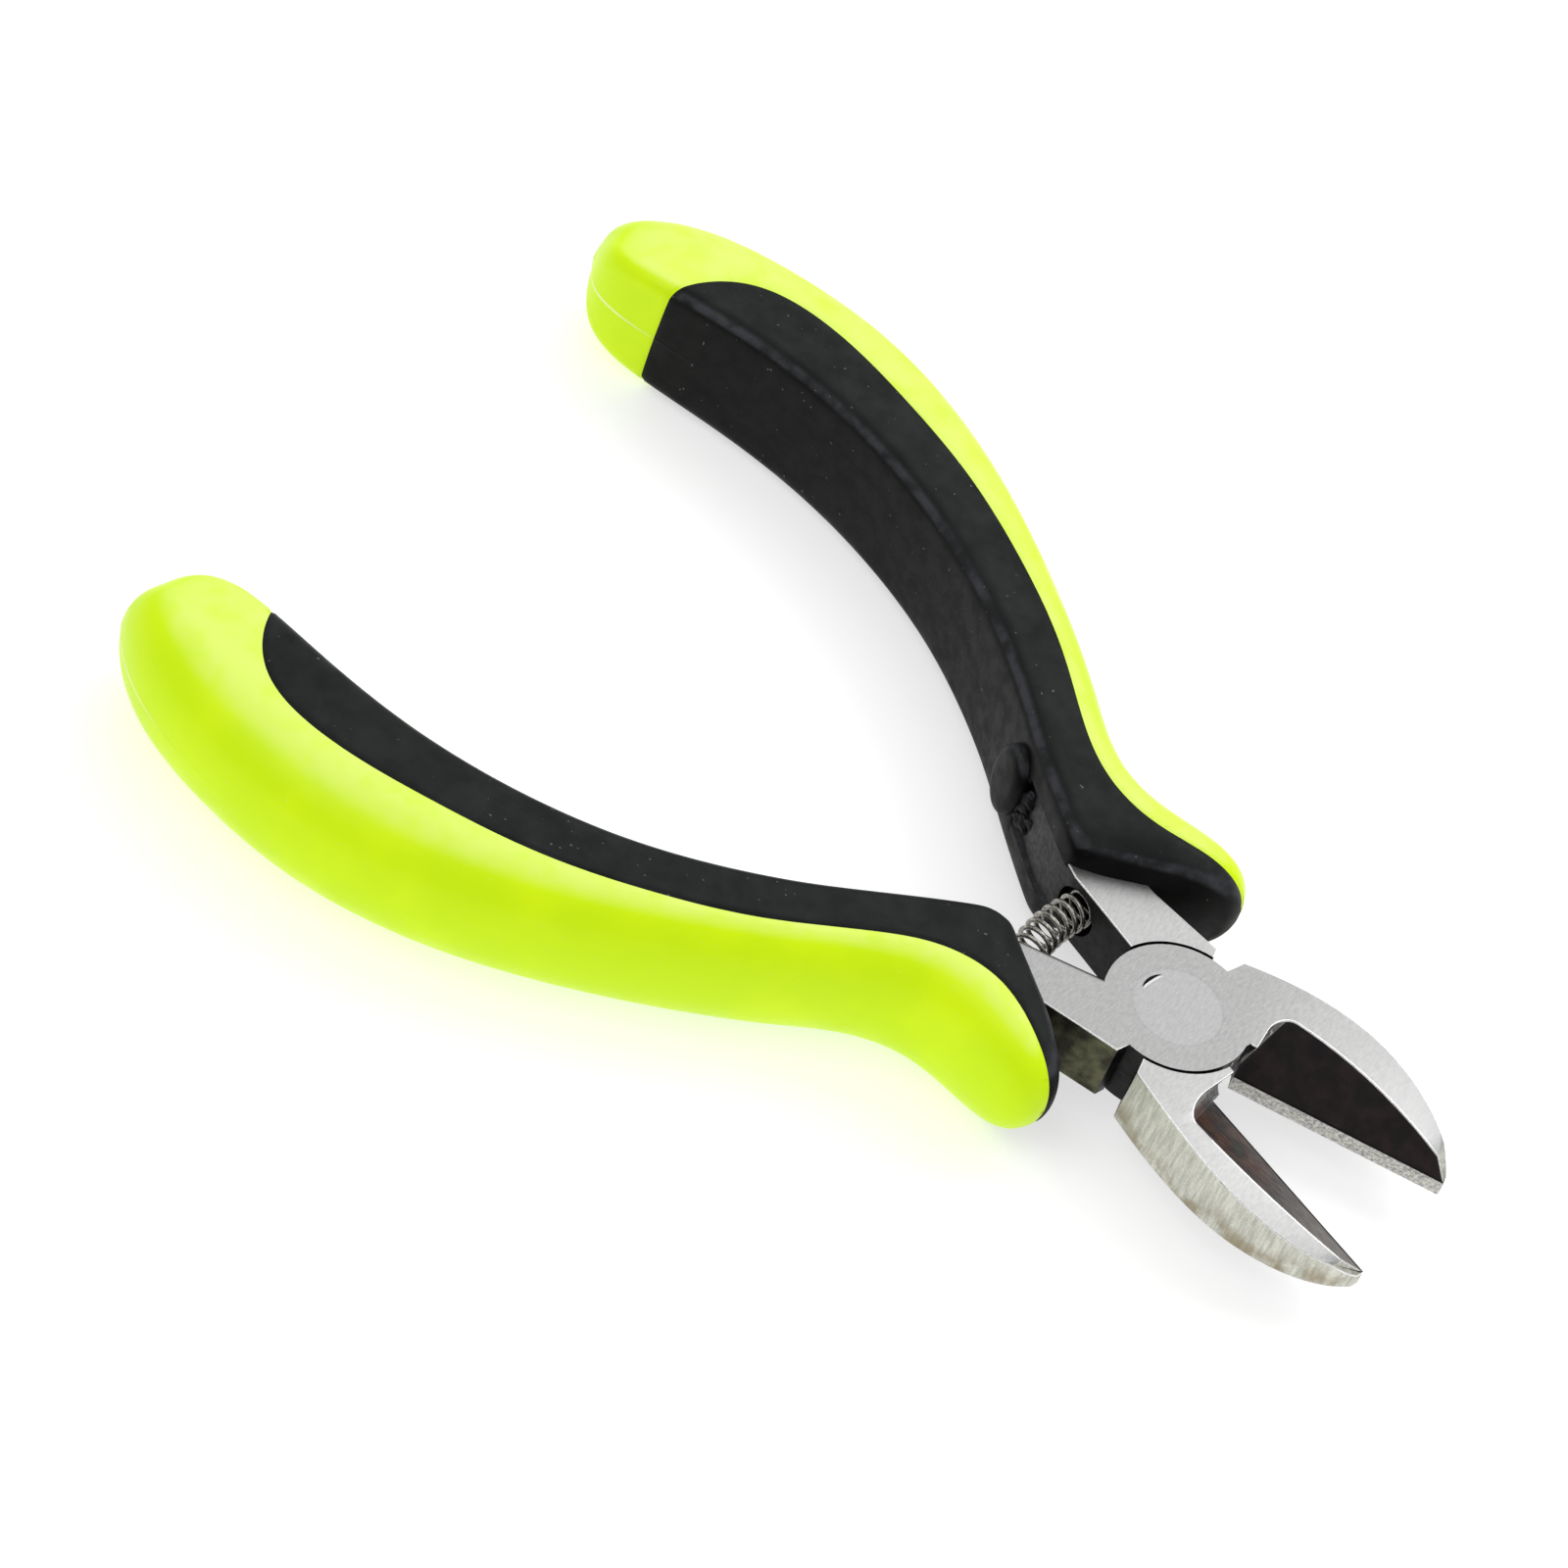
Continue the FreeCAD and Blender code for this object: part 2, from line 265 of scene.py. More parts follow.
def new_piece(name, mesh, body, materials):
    """A piece with its materials, riding on a body."""
    piece = bpy.data.objects.new(name, mesh)
    bpy.context.scene.collection.objects.link(piece)
    for material in materials:
        mesh.materials.append(material)
    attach(piece, body)
    return piece


# ---------------------------------------------------------------- grips

def half_outline(width, height):
    """Upper half of a section, from its inner side over the top to its outer side."""
    corner = min(INNER_CORNER, CORNER_SHARE[0] * width, CORNER_SHARE[1] * height)
    flat = max(TOP_SHARE * width, corner + TOP_LEAST)
    full_rise = 4.9
    rise = np.array([0, 0.5 * SEAM_REACH, SEAM_REACH, 0.35, 0.8, 1.5, 2.3, 3.2, 4.2])
    rise = rise * (height - corner) / full_rise
    inner = np.column_stack([-INNER_CROWN * (1 - (rise / height) ** 2), rise])
    lean = -INNER_CROWN * (1 - ((height - corner) / height) ** 2)
    rounding = bezier([(lean, height - corner), (lean * 0.5, height - corner * CORNER_PULL),
                       (corner * CORNER_PULL, height), (corner, height)], np.linspace(0, 1, 8))
    top = np.column_stack([np.linspace(corner, flat, 14)[1:-1], np.full(12, height)])
    reach = FULLNESS * (width - flat)
    share = np.concatenate([np.linspace(0, 0.93, 24), [0.955, 0.975, 0.985, 0.993, 1.0]])
    poles = [(flat, height), (flat + reach, height), (width, FULLNESS * height), (width, 0)]
    outer = bezier(poles, share)
    return np.concatenate([inner, rounding, top, outer])


def section_ring(station, inset):
    """Closed ring of points round the grip at a station, drawn in by inset, with its
    width and the directions across and along the grip."""
    inner, outer, height = station[:2], station[2:4], station[4]
    across = outer - inner
    width = np.linalg.norm(across)
    across = across / width
    outline = half_outline(width, height)
    outline[:, 0] = inset + outline[:, 0] * (width - 2 * inset) / width
    outline[:, 1] *= (height - inset) / height
    mirrored = outline[-2:0:-1] * [1, -1]
    ring = np.concatenate([outline, mirrored])
    ahead = np.array([-across[1], across[0]])
    plan = inner + ring[:, :1] * across
    return np.column_stack([plan, ring[:, 1] + MID]), width, across, ahead


def cap_rings(station, inset, swell, toward):
    """Rings that close an end, shrinking onto the middle of its face."""
    ring, width, across, ahead = section_ring(station, inset)
    start = station[:2]
    along = (ring[:, :2] - start) @ across
    middle = np.clip(along, CAP_CORE[0] * width, CAP_CORE[1] * width)
    centre = np.column_stack([start + middle[:, None] * across, np.full(len(ring), MID)])
    rings = []
    for share in np.linspace(0.92, 0.0, 12):
        shrunk = centre + (ring - centre) * share
        shrunk[:, :2] += toward * ahead * swell * (1 - share ** 2)
        rings.append(shrunk)
    return rings


def grip_rings():
    """All rings of the grip, from the middle of the front face to the middle of the end cap."""
    lengths = np.linalg.norm(np.diff(np.array(GRIP_STATIONS), axis=0), axis=1).sum()
    front = FRONT_ROUND * ROUND_LENGTH / lengths
    end = END_ROUND * ROUND_LENGTH / lengths
    turn = np.linspace(0, math.pi / 2, 9)
    head = front * (1 - np.cos(turn))
    tail = 1 - end * (1 - np.cos(turn[::-1]))
    where = np.concatenate([head, np.linspace(front, 1 - end, RINGS)[1:-1], tail])
    stations = smooth_curve(GRIP_STATIONS, where)
    insets = np.zeros(len(where))
    insets[:len(head)] = FRONT_ROUND * (1 - np.sin(turn))
    insets[-len(tail):] = END_INSET * (1 - np.sin(turn[::-1]))
    rings = cap_rings(stations[0], insets[0], FRONT_SWELL, 1)[::-1]
    rings += [section_ring(s, i)[0] for s, i in zip(stations, insets)]
    rings += cap_rings(stations[-1], insets[-1], END_SWELL, -1)
    return rings


def signed_distance(points, curve):
    """Distance from a plan curve, positive on the left of its direction."""
    out = np.zeros(len(points))
    starts, steps = curve[:-1], np.diff(curve, axis=0)
    squares = (steps ** 2).sum(1)
    for i, p in enumerate(points):
        t = np.clip(((p - starts) * steps).sum(1) / squares, 0, 1)
        away = p - (starts + t[:, None] * steps)
        k = np.argmin((away ** 2).sum(1))
        side = steps[k, 0] * away[k, 1] - steps[k, 1] * away[k, 0]
        out[i] = math.copysign(math.sqrt((away[k] ** 2).sum()), side)
    return out


def cut_at(bm, layer, level):
    """Add a line of vertices where the layer has the given value."""
    near = 0.01
    for vert in bm.verts:
        if abs(vert[layer] - level) < near:
            vert[layer] = level
    crossing = [e for e in bm.edges
                if (e.verts[0][layer] - level) * (e.verts[1][layer] - level) < 0]
    for edge in crossing:
        a, b = edge.verts
        share = (level - a[layer]) / (b[layer] - a[layer])
        _, vert = bmesh.utils.edge_split(edge, a, share)
        vert[layer] = level
    for face in list(bm.faces):
        on = [v for v in face.verts if v[layer] == level]
        values = [v[layer] - level for v in face.verts]
        if len(on) == 2 and min(values) < 0 < max(values):
            if not any(e.verts[0] in on and e.verts[1] in on for e in face.edges):
                bmesh.utils.face_split(face, on[0], on[1])


def grip_surface():
    """The whole closed grip, with each vertex's distance from the colour boundary."""
    rings = grip_rings()
    count = len(rings[0])
    bm = bmesh.new()
    layer = bm.verts.layers.float.new("zone")
    rows = [[bm.verts.new(p) for p in ring] for ring in rings]
    for a, b in zip(rows, rows[1:]):
        for j in range(count):
            k = (j + 1) % count
            bm.faces.new((a[j], a[k], b[k], b[j]))
    bmesh.ops.remove_doubles(bm, verts=bm.verts, dist=WELD)
    bmesh.ops.recalc_face_normals(bm, faces=bm.faces)
    curve = smooth_curve(COLOUR_BOUNDARY, np.linspace(0, 1, BOUNDARY_POINTS))
    plan = np.array([v.co[:2] for v in bm.verts])
    for vert, value in zip(bm.verts, signed_distance(plan, curve)):
        vert[layer] = value
    for level in (0.0, GROOVE_FLOOR, -GROOVE_FLOOR, GROOVE_REACH, -GROOVE_REACH):
        cut_at(bm, layer, level)
    return bm, layer


def fine_relief(bm, layer):
    """Press in the groove along the colour boundary and raise the mould parting line."""
    bm.normal_update()
    moves = []
    for vert in bm.verts:
        rise = 0.0
        away = abs(vert[layer])
        if away < GROOVE_REACH:
            rise -= GROOVE_DEPTH * (1 - (away / GROOVE_REACH) ** 2)
        level = abs(vert.co.z - MID)
        if level < 0.9 * SEAM_REACH:
            fade = (SEAM_FADE[1] - vert.co.x) / (SEAM_FADE[1] - SEAM_FADE[0])
            rise += SEAM_HEIGHT * (1 - level / SEAM_REACH) * min(1.0, max(SEAM_REST, fade))
        moves.append(vert.normal * rise)
    for vert, move in zip(bm.verts, moves):
        vert.co += move


def close_with_wall(bm):
    """Close an open moulding by the upright wall between its upper and lower border."""
    def place(vert):
        return round(vert.co.x, 3), round(vert.co.y, 3), round(abs(vert.co.z - MID), 3)

    border = [e for e in bm.edges if e.is_boundary]
    lows = {place(v): v for e in border for v in e.verts if v.co.z <= MID}
    for edge in border:
        a, b = edge.verts
        over = min(a.co.z, b.co.z) > MID + 0.01
        if over and place(a) in lows and place(b) in lows:
            bm.faces.new((a, b, lows[place(b)], lows[place(a)]))
    bmesh.ops.holes_fill(bm, edges=[e for e in bm.edges if e.is_boundary], sides=0)
    bmesh.ops.recalc_face_normals(bm, faces=bm.faces)


def moulding(surface, layer_name, liner):
    """The liner or the shell, cut out of the whole grip."""
    bm = surface.copy()
    layer = bm.verts.layers.float[layer_name]
    sign = 1 if liner else -1
    wrong = [f for f in bm.faces if sign * sum(v[layer] for v in f.verts) < 0]
    bmesh.ops.delete(bm, geom=wrong, context="FACES")
    close_with_wall(bm)
    return bm


def add_boss(bm):
    """Round boss on the liner's inner side, sunk into it."""
    ahead = Vector((*BOSS_AHEAD, 0)).normalized()
    side = Vector((-ahead.y, ahead.x, 0))
    centre = Vector((*BOSS_AT, MID))
    turn = np.linspace(0, math.pi / 2, 7)
    profile = [(BOSS_R, 0.0), (BOSS_R, 0.5 * (BOSS_H - BOSS_ROUND))]
    for t in turn:
        radius = BOSS_R - BOSS_ROUND * (1 - math.cos(t))
        profile.append((radius, BOSS_H - BOSS_ROUND * (1 - math.sin(t))))
    rings = []
    for radius, height in profile:
        ring = []
        for k in range(BOSS_SIDES):
            a = 2 * math.pi * k / BOSS_SIDES
            flat = side * math.cos(a) + Vector((0, 0, BOSS_TALL)) * math.sin(a)
            ring.append(bm.verts.new(centre + flat * radius + ahead * height))
        rings.append(ring)
    faces = [bm.faces.new(rings[0]), bm.faces.new(rings[-1])]
    for a, b in zip(rings, rings[1:]):
        for k in range(BOSS_SIDES):
            n = (k + 1) % BOSS_SIDES
            faces.append(bm.faces.new((a[k], a[n], b[n], b[k])))
    bmesh.ops.recalc_face_normals(bm, faces=faces)


def bare_the_tang(bm):
    """Draw the liner's inner side back between the boss and its front face."""
    inner = np.array(GRIP_STATIONS)[:, :2]
    plan = np.array([v.co[:2] for v in bm.verts])
    depth = -signed_distance(plan, inner[::-1])
    start, deep, shallow, end = RECESS
    for vert, below in zip(bm.verts, depth):
        x = vert.co.x
        inside = start < x < end and abs(vert.co.z - MID) < RECESS_HALF
        if inside and abs(below) < INNER_SKIN:
            fade = min(1, (x - start) / (deep - start), (end - x) / (end - shallow))
            vert.co.x -= RECESS_SLANT * RECESS_DEPTH * fade
            vert.co.y -= RECESS_DEPTH * fade


def add_residue(bm):
    """Lump of moulding flash on the bare tang, just in front of the boss."""
    for x, y, height, size in RESIDUE:
        made = bmesh.ops.create_icosphere(bm, subdivisions=3, radius=size)
        for vert in made["verts"]:
            p = vert.co
            lumps = 1 + 0.18 * math.sin(5 * p.x + 3 * p.z) + 0.12 * math.sin(9 * p.y - 4 * p.z)
            vert.co = Vector((x, y, MID + height)) + p * Vector(RESIDUE_SHAPE) * lumps


def place_mesh(bm, name, upper):
    """Bring a half's own mesh to its place in the frame."""
    points = to_rest([v.co for v in bm.verts], upper)
    for vert, point in zip(bm.verts, points):
        vert.co = point
    if not upper:
        bmesh.ops.reverse_faces(bm, faces=bm.faces)
    mesh = bpy.data.meshes.new(name)
    bm.to_mesh(mesh)
    bm.free()
    mesh.set_sharp_from_angle(angle=SMOOTH_ANGLE)
    for polygon in mesh.polygons:
        polygon.use_smooth = True
    return mesh


def make_grips(lime, black):
    """The shell and the liner of both handles."""
    surface, layer = grip_surface()
    fine_relief(surface, layer)
    for side in HALVES:
        parts = (("shell", lime, "lime_plastic"), ("liner", black, "black_rubber"))
        for part, material, slot in parts:
            bm = moulding(surface, "zone", part == "liner")
            if part == "liner":
                bare_the_tang(bm)
                add_boss(bm)
            if part == "liner" and side == "lower":
                add_residue(bm)
            name = side + "_grip_" + part
            mesh = place_mesh(bm, name, side == "upper")
            piece = new_piece(name + "_moulding", mesh, side + "_half", [material])
            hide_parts(name)
    surface.free()


# ---------------------------------------------------------------- shader helpers

class Shader:
    """A Principled material with short ways to build its textures, in object coordinates."""

    def __init__(self, name, **constants):
        self.material = bpy.data.materials.new(name)
        self.material.use_nodes = True
        self.tree = self.material.node_tree
        self.surface = self.tree.nodes["Principled BSDF"]
        for socket, value in constants.items():
            self.surface.inputs[socket.replace("_", " ")].default_value = value
        self.place = self.tree.nodes.new("ShaderNodeTexCoord").outputs["Object"]

    def node(self, kind, links=(), **settings):
        made = self.tree.nodes.new(kind)
        for name, value in settings.items():
            setattr(made, name, value)
        for socket, value in links:
            if isinstance(value, bpy.types.NodeSocket):
                self.tree.links.new(value, made.inputs[socket])
            else:
                made.inputs[socket].default_value = value
        return made

    def set(self, socket, value):
        self.tree.links.new(value, self.surface.inputs[socket])

    def noise(self, size, detail=3.0, stretch=(1, 1, 1), turn=0.0, roughness=0.55):
        """Noise with features of about size millimetres, drawn out by stretch."""
        mapped = self.node("ShaderNodeMapping", [("Vector", self.place), ("Scale", stretch),
                                                 ("Rotation", (0, 0, turn))])
        made = self.node("ShaderNodeTexNoise", [
            ("Vector", mapped.outputs[0]), ("Scale", 1 / (size * MM)),
            ("Detail", detail), ("Roughness", roughness),
        ])
        return made.outputs["Fac"]

    def math(self, operation, a, b=0.0):
        return self.node("ShaderNodeMath", [(0, a), (1, b)], operation=operation).outputs[0]

    def smooth(self, value, low, high, to_low=0.0, to_high=1.0):
        """Smooth step from to_low to to_high as the value goes from low to high."""
        made = self.node("ShaderNodeMapRange", [
            ("Value", value), ("From Min", low), ("From Max", high), ("To Min", to_low), ("To Max", to_high),
        ], interpolation_type="SMOOTHSTEP")
        return made.outputs[0]

    def mix(self, share, a, b):
        return self.node("ShaderNodeMix", [(0, share), (6, a), (7, b)], data_type="RGBA").outputs[2]

    def bump(self, height, depth, strength=1.0, below=None):
        links = [("Height", height), ("Distance", depth * MM), ("Strength", strength)]
        if below is not None:
            links.append(("Normal", below))
        return self.node("ShaderNodeBump", links).outputs[0]

    def axis(self, which):
        parts = self.node("ShaderNodeSeparateXYZ", [(0, self.place)])
        return parts.outputs[which]

    def facing(self, which):
        """One coordinate of the way the surface faces."""
        geometry = self.node("ShaderNodeNewGeometry")
        parts = self.node("ShaderNodeSeparateXYZ", [(0, geometry.outputs["Normal"])])
        return parts.outputs[which]


# ---------------------------------------------------------------- materials

def rgb(r, g, b):
    """Linear colour from 0-255 display values."""
    def lin(c):
        c = c / 255
        return c / 12.92 if c <= 0.04045 else ((c + 0.055) / 1.055) ** 2.4
    return (lin(r), lin(g), lin(b), 1.0)


def lime_plastic():
    """Outer mouldings: a painted sheen makes the upward faces paler, with a whitish parting line round the
    end caps.
    """
    s = Shader("lime_plastic", Roughness=0.34, IOR=1.48, Specular_IOR_Level=0.22)
    clouds = s.noise(9.0, 2.0)
    body = s.mix(s.smooth(clouds, 0.35, 0.7), rgb(212, 249, 0), rgb(222, 255, 0))
    # Painted sheen: faces turned upward are mixed toward a pale lime, broken up by the mottle noise.
    mottle = s.smooth(s.noise(3.0, 4.0), 0.3, 0.6, 0.55, 1.0)
    painted_top_sheen = s.math("MULTIPLY", s.smooth(s.facing(2), 0.80, 0.99), mottle)
    base = s.mix(painted_top_sheen, body, rgb(229, 253, 112))
    specks = s.smooth(s.noise(0.35, 1.0), 0.72, 0.8)
    base = s.mix(s.math("MULTIPLY", specks, 0.25), base, rgb(235, 245, 150))
    away = s.math("ABSOLUTE", s.math("SUBTRACT", s.axis(2), MID * MM))
    near_seam = s.smooth(away, 0.08 * MM, 0.16 * MM, 1.0, 0.0)
    on_cap = s.smooth(s.axis(0), SEAM_FADE[0] * MM, SEAM_FADE[1] * MM, 0.9, 0.0)
    on_seam = s.math("MULTIPLY", near_seam, on_cap)
    s.set("Base Color", s.mix(on_seam, base, rgb(246, 255, 190)))
    s.set("Roughness", s.smooth(s.noise(2.5, 4.0), 0.3, 0.7, 0.28, 0.40))
    orange_peel = s.bump(s.noise(0.9, 2.0), 0.012, 0.5)
    s.set("Normal", s.bump(s.noise(0.12, 2.0), 0.004, 0.5, orange_peel))
    return s.material


def black_rubber():
    """Inner mouldings: matt, with painted light making the upward faces lighter than the sides, a painted
    highlight along the upper ridges, and a few specks of dust.
    """
    s = Shader("black_rubber", Roughness=0.48, IOR=1.5, Specular_IOR_Level=0.13)
    clouds = s.smooth(s.noise(5.0, 4.0), 0.35, 0.7)
    up = s.facing(2)
    # Lit and shaded copies of the charcoal: faces turned upward are painted lighter than the sides.
    side = s.mix(clouds, rgb(4, 4, 4), rgb(12, 12, 13))
    top = s.mix(clouds, rgb(14, 17, 16), rgb(27, 31, 30))
    base = s.mix(s.smooth(up, 0.3, 0.98), side, top)
    # Painted highlight: a lighter grey band where the surface turns from the side to the top, broken up by
    # noise.
    ridge = s.math("MULTIPLY", s.smooth(up, 0.35, 0.6), s.smooth(up, 0.72, 0.93, 1.0, 0.0))
    painted_ridge_highlight = s.math("MULTIPLY", ridge, s.smooth(s.noise(2.0, 4.0), 0.35, 0.65, 0.15, 0.75))
    base = s.mix(painted_ridge_highlight, base, rgb(66, 67, 72))
    dust = s.smooth(s.noise(0.55, 1.0), 0.75, 0.78)
    s.set("Base Color", s.mix(s.math("MULTIPLY", dust, 0.5), base, rgb(120, 120, 116)))
    s.set("Roughness", s.smooth(s.noise(1.6, 4.0), 0.3, 0.7, 0.40, 0.56))
    grain = s.bump(s.noise(0.22, 3.0), 0.02, 0.6)
    s.set("Normal", s.bump(s.noise(1.4, 2.0), 0.02, 0.4, grain))
    return s.material


def ground_steel(name, dark, light, rough):
    """Bright steel with fine grinding lines."""
    s = Shader(name, Metallic=0.92, Roughness=rough)
    grain = s.noise(0.28, 3.0, (1.0, 0.16, 1.0))
    fuzz = s.noise(0.16, 4.0)
    tone = s.smooth(s.math("ADD", s.math("MULTIPLY", grain, 0.6), s.math("MULTIPLY", fuzz, 0.4)), 0.3, 0.7)
    s.set("Base Color", s.mix(tone, dark, light))
    s.set("Roughness", s.smooth(fuzz, 0.3, 0.7, rough - 0.06, rough + 0.08))
    scratches = s.bump(grain, 0.006, 0.5)
    s.set("Normal", s.bump(fuzz, 0.004, 0.5, scratches))
    return s.material


def oxide_steel(name, dark, light, rough):
    """Cloudy oxide skin of the sides that aren't ground."""
    s = Shader(name, Metallic=0.75, Roughness=rough)
    clouds = s.smooth(s.noise(1.8, 5.0), 0.35, 0.68)
    s.set("Base Color", s.mix(clouds, dark, light))
    s.set("Roughness", s.smooth(s.noise(0.5, 4.0), 0.3, 0.7, rough - 0.08, rough + 0.1))
    s.set("Normal", s.bump(s.noise(0.3, 4.0, (1, 1, 0.25)), 0.015, 0.6))
    return s.material


def lap_steel(name, dark, light, painted_tip_light):
    """Ground faces, with painted light brightening them toward the tips, the rivet's faint outline, and the
    crescent mark with a painted highlight along its lip.
    """
    s = Shader(name, Metallic=0.9, Roughness=0.42)
    grain = s.noise(0.22, 3.0, (1.0, 0.3, 1.0), 0.6)
    fuzz = s.noise(0.13, 4.0)
    tone = s.smooth(s.math("ADD", s.math("MULTIPLY", grain, 0.5), s.math("MULTIPLY", fuzz, 0.5)), 0.25, 0.75)
    base = s.mix(tone, dark, light)
    # Painted light: the faces are mixed toward pale grey from 12 mm to 24 mm toward the tip.
    base = s.mix(s.smooth(s.axis(0), 12 * MM, 24 * MM, 0.0, painted_tip_light), base, rgb(200, 200, 200))
    x = s.math("DIVIDE", s.axis(0), MM)
    y = s.math("DIVIDE", s.axis(1), MM)
    radius = s.math("SQRT", s.math("ADD", s.math("MULTIPLY", x, x), s.math("MULTIPLY", y, y)))
    from_ring = s.math("ABSOLUTE", s.math("SUBTRACT", radius, RIVET_R))
    broken = s.smooth(s.noise(1.2, 3.0), 0.4, 0.62, 0.0, 0.14)
    ring = s.math("MULTIPLY", s.smooth(from_ring, 0.03, 0.14, 1.0, 0.0), broken)
    base = s.mix(ring, base, rgb(95, 95, 95))
    inside = s.smooth(radius, RIVET_R - 0.3, RIVET_R + 0.1, 0.14, 0.0)
    base = s.mix(inside, base, rgb(190, 190, 196))
    ahead = Vector((math.cos(SCRATCH_TURN), math.sin(SCRATCH_TURN)))
    along = s.math("ADD", s.math("MULTIPLY", x, ahead.x), s.math("MULTIPLY", y, ahead.y))
    across = s.math("SUBTRACT", s.math("MULTIPLY", y, ahead.x), s.math("MULTIPLY", x, ahead.y))
    share = s.math("DIVIDE", across, SCRATCH_HALF)
    taper = s.math("MULTIPLY", s.math("SUBTRACT", 1.0, s.math("MULTIPLY", share, share)), SCRATCH_WIDTH)
    on_side = s.smooth(along, 0.0, 0.5)
    upward = s.smooth(s.axis(2), 0.9 * HEAD_T * MM, 0.95 * HEAD_T * MM)
    # The first stroke is a painted highlight along the scratch's lip; the second is the dark scratch itself.
    strokes = ((SCRATCH_R - 0.2, 0.4, rgb(235, 235, 235)), (SCRATCH_R, 1.0, rgb(8, 8, 8)))
    for middle, strength, colour in strokes:
        off = s.math("ABSOLUTE", s.math("SUBTRACT", radius, middle))
        mark = s.smooth(s.math("SUBTRACT", taper, off), 0.0, 0.03, 0.0, strength)
        base = s.mix(s.math("MULTIPLY", s.math("MULTIPLY", mark, on_side), upward), base, colour)
    s.set("Base Color", base)
    s.set("Roughness", s.smooth(fuzz, 0.3, 0.7, 0.36, 0.48))
    scratches = s.bump(grain, 0.004, 0.4)
    s.set("Normal", s.bump(fuzz, 0.003, 0.4, scratches))
    return s.material


def side_steel():
    """Outer sides of the jaws: brushed across, with faint brown stains near the back face."""
    s = Shader("brushed_side_steel", Metallic=0.85, Roughness=0.45)
    lines = s.noise(0.35, 4.0, (1.0, 1.0, 0.12))
    fuzz = s.noise(0.15, 4.0)
    tone = s.smooth(s.math("ADD", s.math("MULTIPLY", lines, 0.6), s.math("MULTIPLY", fuzz, 0.4)), 0.3, 0.7)
    base = s.mix(tone, rgb(168, 168, 158), rgb(222, 222, 211))
    low = s.smooth(s.axis(2), 0.3 * MM, 3.5 * MM, 1.0, 0.0)
    stain = s.math("MULTIPLY", low, s.smooth(s.noise(3.0, 4.0), 0.42, 0.62, 0.0, 0.7))
    s.set("Base Color", s.mix(stain, base, rgb(140, 125, 92)))
    s.set("Roughness", s.smooth(fuzz, 0.3, 0.7, 0.38, 0.52))
    s.set("Normal", s.bump(lines, 0.008, 0.6))
    return s.material


def bevel_steel():
    """Bevels: dark oxide with fine grind lines; the lower jaw's is rusty near the throat
    and barer toward the tip."""
    s = Shader("bevel_steel", Metallic=0.6, Roughness=0.4)
    clouds = s.smooth(s.noise(1.5, 4.0), 0.35, 0.68)
    base = s.mix(clouds, rgb(18, 13, 13), rgb(38, 28, 27))
    lower_jaw = s.smooth(s.axis(1), -2 * MM, -4 * MM)
    rusty = s.math("MULTIPLY", s.smooth(s.noise(2.2, 3.0), 0.4, 0.6), lower_jaw)
    rusty = s.math("MULTIPLY", rusty, s.smooth(s.axis(0), 12 * MM, 18 * MM, 0.85, 0.0))
    base = s.mix(rusty, base, rgb(92, 54, 36))
    bare = s.math("MULTIPLY", lower_jaw, s.smooth(s.axis(0), 13 * MM, 22 * MM))
    base = s.mix(s.math("MULTIPLY", bare, 0.7), base, rgb(118, 112, 106))
    s.set("Base Color", base)
    grind = s.noise(0.3, 3.0, (0.25, 1.0, 1.0))
    s.set("Roughness", s.smooth(grind, 0.3, 0.7, 0.3, 0.5))
    s.set("Normal", s.bump(grind, 0.012, 0.6))
    return s.material


def wall_steel():
    """End walls of the bevel pockets: dull, with a few bare specks."""
    s = Shader("pocket_wall_steel", Metallic=0.3, Roughness=0.45)
    clouds = s.smooth(s.noise(1.0, 4.0), 0.35, 0.68)
    base = s.mix(clouds, rgb(104, 103, 101), rgb(150, 148, 145))
    specks = s.smooth(s.noise(0.6, 1.0), 0.61, 0.65)
    s.set("Base Color", s.mix(s.math("MULTIPLY", specks, 0.85), base, rgb(215, 215, 215)))
    s.set("Normal", s.bump(s.noise(0.4, 3.0), 0.02, 0.6))
    return s.material


def lap_materials():
    """The ground faces; the upper half's is darker and has painted light brightening it toward its tip."""
    return {
        "upper": lap_steel("upper_lap_steel", rgb(138, 138, 138), rgb(164, 164, 163), 0.5),
        "lower": lap_steel("lower_lap_steel", rgb(154, 154, 154), rgb(180, 180, 179), 0.0),
    }


def other_steels():
    """The finishes that both halves share, with the edge steel a painted highlight for the top edges, in the
    order from EDGE to WALL.
    """
    edge = ground_steel("edge_highlight_steel", rgb(205, 205, 203), rgb(240, 240, 238), 0.3)
    oxide = oxide_steel("black_oxide_steel", rgb(12, 12, 13), rgb(30, 30, 30), 0.40)
    olive = oxide_steel("brown_oxide_steel", rgb(44, 43, 31), rgb(100, 99, 75), 0.42)
    land = ground_steel("land_steel", rgb(118, 116, 112), rgb(216, 214, 209), 0.34)
    return [edge, oxide, olive, side_steel(), bevel_steel(), land, wall_steel()]


# ---------------------------------------------------------------- steel halves

def classify(centre, normal):
    """Finish of a face of a closed half, from where it is and which way it faces."""
    x, y, z = centre
    jaw = x > JAW_START
    if normal[2] < -0.7 and z < BACK_REACH:
        return GROUND
    if jaw and normal[1] < -0.9 and z < LAND_TOP:
        return LAND
    if jaw and normal[1] < -0.3 and normal[0] < 0.75 and 0.4 < normal[2] < 0.95:
        return BEVEL
    if normal[2] > 0.9:
        return GROUND if z > MID + TOP_DROP or x > JAW_TOP_START else OXIDE
    if jaw and x < BEVEL_END_X and normal[0] > 0.3 and normal[2] > 0:
        return WALL if normal[0] > 0.55 else BEVEL
    if x > SIDE_START[0] and (y > SIDE_START[1] or x > SIDE_START[2]):
        return SIDE
    if x < TANG_START and normal[1] < -0.4:
        return OLIVE
    return OXIDE


